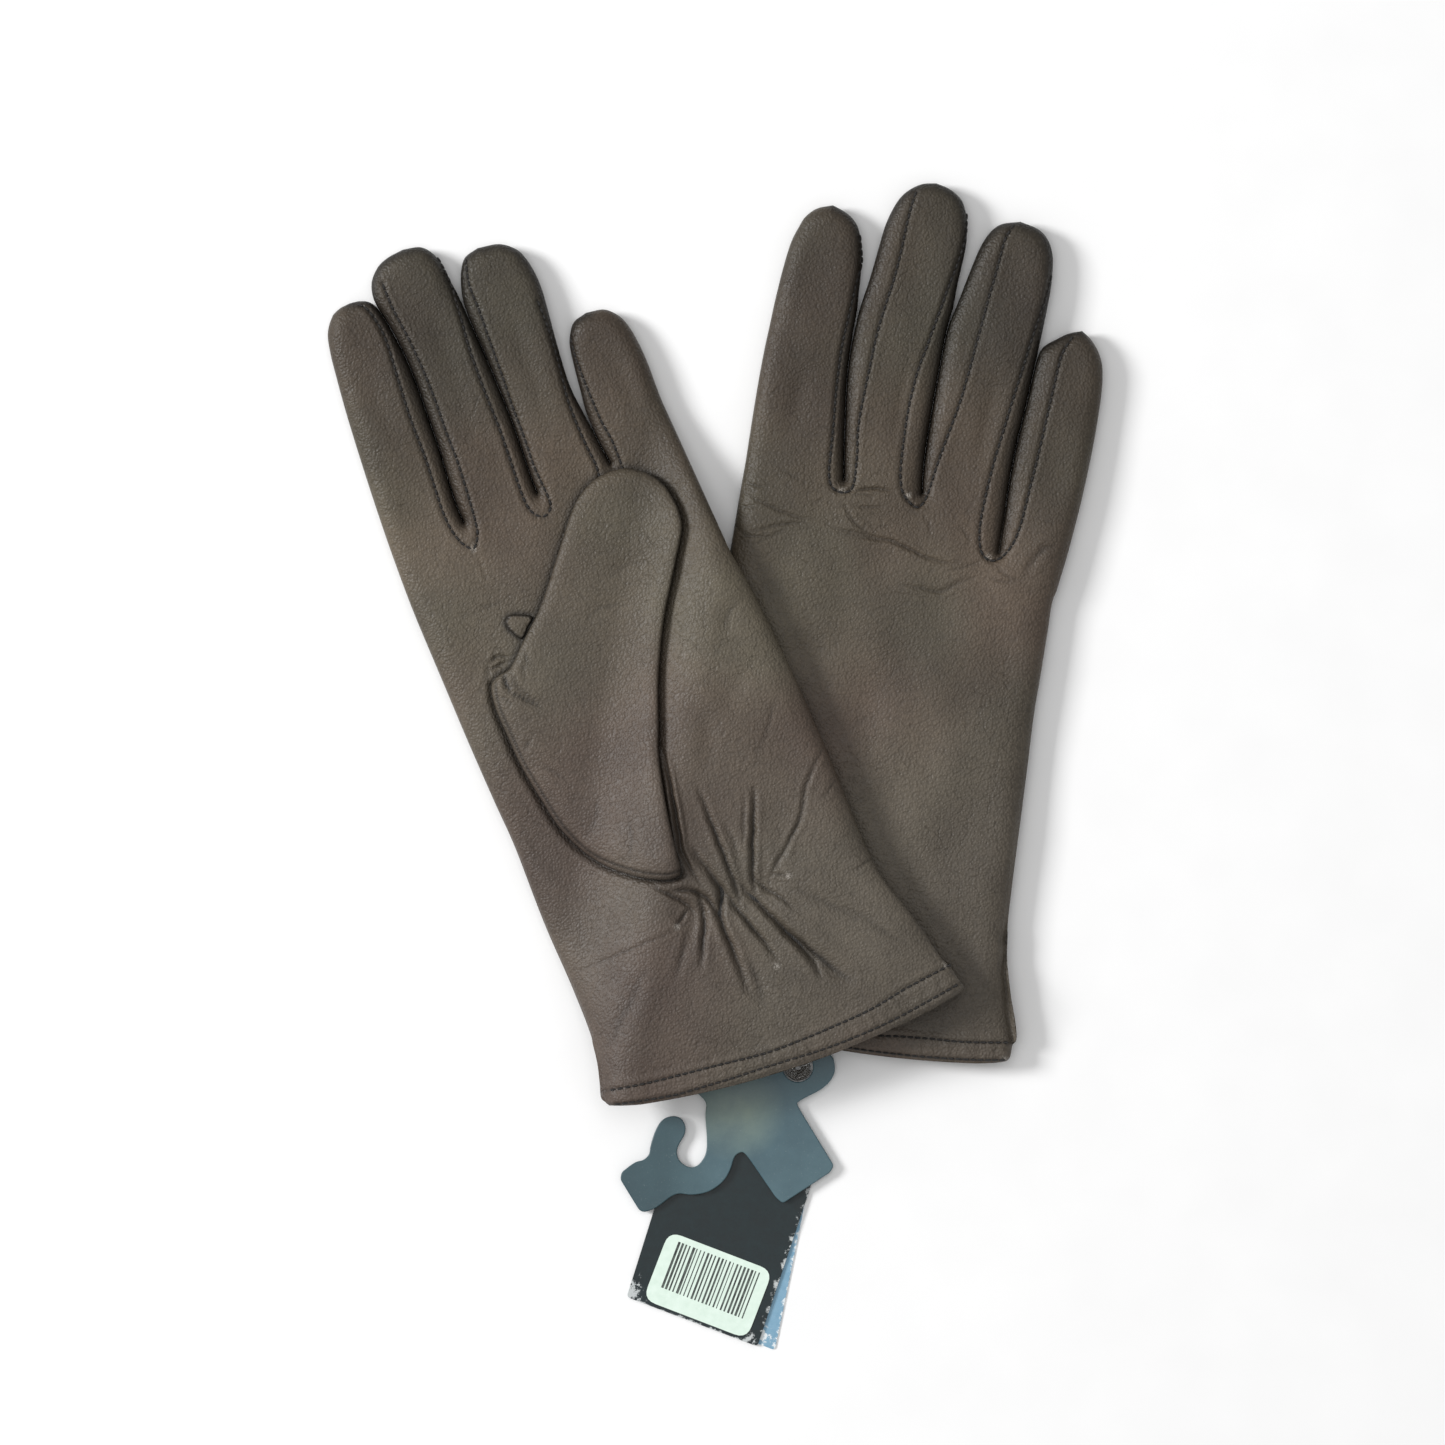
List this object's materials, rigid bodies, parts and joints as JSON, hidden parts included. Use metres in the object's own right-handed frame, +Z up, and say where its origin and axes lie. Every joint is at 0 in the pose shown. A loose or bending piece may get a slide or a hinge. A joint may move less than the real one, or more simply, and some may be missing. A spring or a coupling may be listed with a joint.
{
  "type": "pair of leather gloves",
  "caption": "Pair of lined leather dress gloves with stitched fingers and hemmed cuffs, one laid across the other, tied to a plastic hanger with swing cards.",
  "frame": {"origin": "centre of the pair's footprint, on the surface it lies on", "axes": "+Z up out of the surface, +Y from the cuffs towards the fingertips, +X to the right seen from above"},
  "size_m": [0.2327, 0.3519, 0.0242],
  "materials": {
    "glove_leather": "fine-grained dark brown glove leather, soft satin",
    "lining": "fine black-brown knitted lining, matt",
    "elastic": "woven elastic tape, matt",
    "hanger_plastic": "slate-teal moulded plastic, semi-matt",
    "clear_nylon": "clear nylon fastener",
    "dark_card": "black printed card with pale worn edges",
    "blue_card": "pale blue uncoated card",
    "sticker_paper": "pale mint paper label with plain stripes"
  },
  "bodies": {
    "right_hand": {"right_hand_trank": "glove_leather", "right_hand_lining": "lining", "right_hem_facing": "glove_leather", "right_wrist_elastic": "elastic", "right_thumb_quirk": "glove_leather", "fastener_loop": "clear_nylon"},
    "right_thumb": {"right_thumb_leather": "glove_leather", "right_thumb_lining": "lining"},
    "right_index": {"right_index_stall": "glove_leather", "right_index_lining": "lining", "right_index_fourchette": "glove_leather"},
    "right_middle": {"right_middle_stall": "glove_leather", "right_middle_lining": "lining", "right_middle_fourchette_inner": "glove_leather", "right_middle_fourchette_outer": "glove_leather"},
    "right_ring": {"right_ring_stall": "glove_leather", "right_ring_lining": "lining", "right_ring_fourchette_inner": "glove_leather", "right_ring_fourchette_outer": "glove_leather"},
    "right_little": {"right_little_stall": "glove_leather", "right_little_lining": "lining", "right_little_fourchette": "glove_leather"},
    "left_hand": {"left_hand_trank": "glove_leather", "left_hand_lining": "lining", "left_hem_facing": "glove_leather", "left_wrist_elastic": "elastic", "left_thumb_quirk": "glove_leather"},
    "left_thumb": {"left_thumb_leather": "glove_leather", "left_thumb_lining": "lining"},
    "left_index": {"left_index_stall": "glove_leather", "left_index_lining": "lining", "left_index_fourchette": "glove_leather"},
    "left_middle": {"left_middle_stall": "glove_leather", "left_middle_lining": "lining", "left_middle_fourchette_inner": "glove_leather", "left_middle_fourchette_outer": "glove_leather"},
    "left_ring": {"left_ring_stall": "glove_leather", "left_ring_lining": "lining", "left_ring_fourchette_inner": "glove_leather", "left_ring_fourchette_outer": "glove_leather"},
    "left_little": {"left_little_stall": "glove_leather", "left_little_lining": "lining", "left_little_fourchette": "glove_leather"},
    "hanger": {"hanger": "hanger_plastic", "card_pin": "clear_nylon"},
    "front_card": {"front_card": "dark_card", "card_sticker": "sticker_paper"},
    "back_card": {"back_card": "blue_card"}
  },
  "joints": [
    {"name": "right_index_curl", "type": "hinge", "parent": "right_hand", "child": "right_index", "pos_m": [0.02364, 0.08948, 0.00885], "axis": [0.9848, -0.1736, 0], "range_deg": [0, 75]},
    {"name": "right_middle_curl", "type": "hinge", "parent": "right_hand", "child": "right_middle", "pos_m": [0.05062, 0.08473, 0.00885], "axis": [0.9848, -0.1736, 0], "range_deg": [0, 75]},
    {"name": "right_ring_curl", "type": "hinge", "parent": "right_hand", "child": "right_ring", "pos_m": [0.07544, 0.08035, 0.00885], "axis": [0.9848, -0.1736, 0], "range_deg": [0, 75]},
    {"name": "right_little_curl", "type": "hinge", "parent": "right_hand", "child": "right_little", "pos_m": [0.09898, 0.0762, 0.00885], "axis": [0.9848, -0.1736, 0], "range_deg": [0, 75]},
    {"name": "left_index_curl", "type": "hinge", "parent": "left_hand", "child": "left_index", "pos_m": [-0.08672, 0.06973, 0.00885], "axis": [0.9272, 0.3746, 0], "range_deg": [0, 75]},
    {"name": "left_middle_curl", "type": "hinge", "parent": "left_hand", "child": "left_middle", "pos_m": [-0.06428, 0.07879, 0.00885], "axis": [0.9272, 0.3746, 0], "range_deg": [0, 75]},
    {"name": "left_ring_curl", "type": "hinge", "parent": "left_hand", "child": "left_ring", "pos_m": [-0.04249, 0.0876, 0.00885], "axis": [0.9272, 0.3746, 0], "range_deg": [0, 75]},
    {"name": "left_little_curl", "type": "hinge", "parent": "left_hand", "child": "left_little", "pos_m": [-0.02061, 0.09644, 0.00935], "axis": [0.9246, 0.3736, 0.0748], "range_deg": [0, 75]},
    {"name": "left_hand_lift", "type": "hinge", "parent": "right_hand", "child": "left_hand", "pos_m": [0.02507, -0.09164, 0.0109], "axis": [0.9272, 0.3746, 0], "range_deg": [0, 45]},
    {"name": "left_thumb_fold", "type": "hinge", "parent": "left_hand", "child": "left_thumb", "pos_m": [-0.06797, 0.01852, 0.0104], "axis": [0.4834, -0.8754, 0], "range_deg": [0, 75]},
    {"name": "right_thumb_fold", "type": "hinge", "parent": "right_hand", "child": "right_thumb", "pos_m": [0.01855, 0.04509, 0.00365], "axis": [-0.2602, -0.9655, 0], "range_deg": [-60, 0]},
    {"name": "hanger_swing", "type": "hinge", "parent": "right_hand", "child": "hanger", "pos_m": [0.0254, -0.0898, 0.0021], "axis": [0, 0, 1], "range_deg": [-8, 8]},
    {"name": "front_card_swing", "type": "hinge", "parent": "hanger", "child": "front_card", "pos_m": [0.0152, -0.0973, 0.0009], "axis": [0, 0, 1], "range_deg": [-10, 10]},
    {"name": "back_card_swing", "type": "hinge", "parent": "hanger", "child": "back_card", "pos_m": [0.0152, -0.0973, 0.0002], "axis": [0, 0, 1], "range_deg": [-10, 10]}
  ]
}
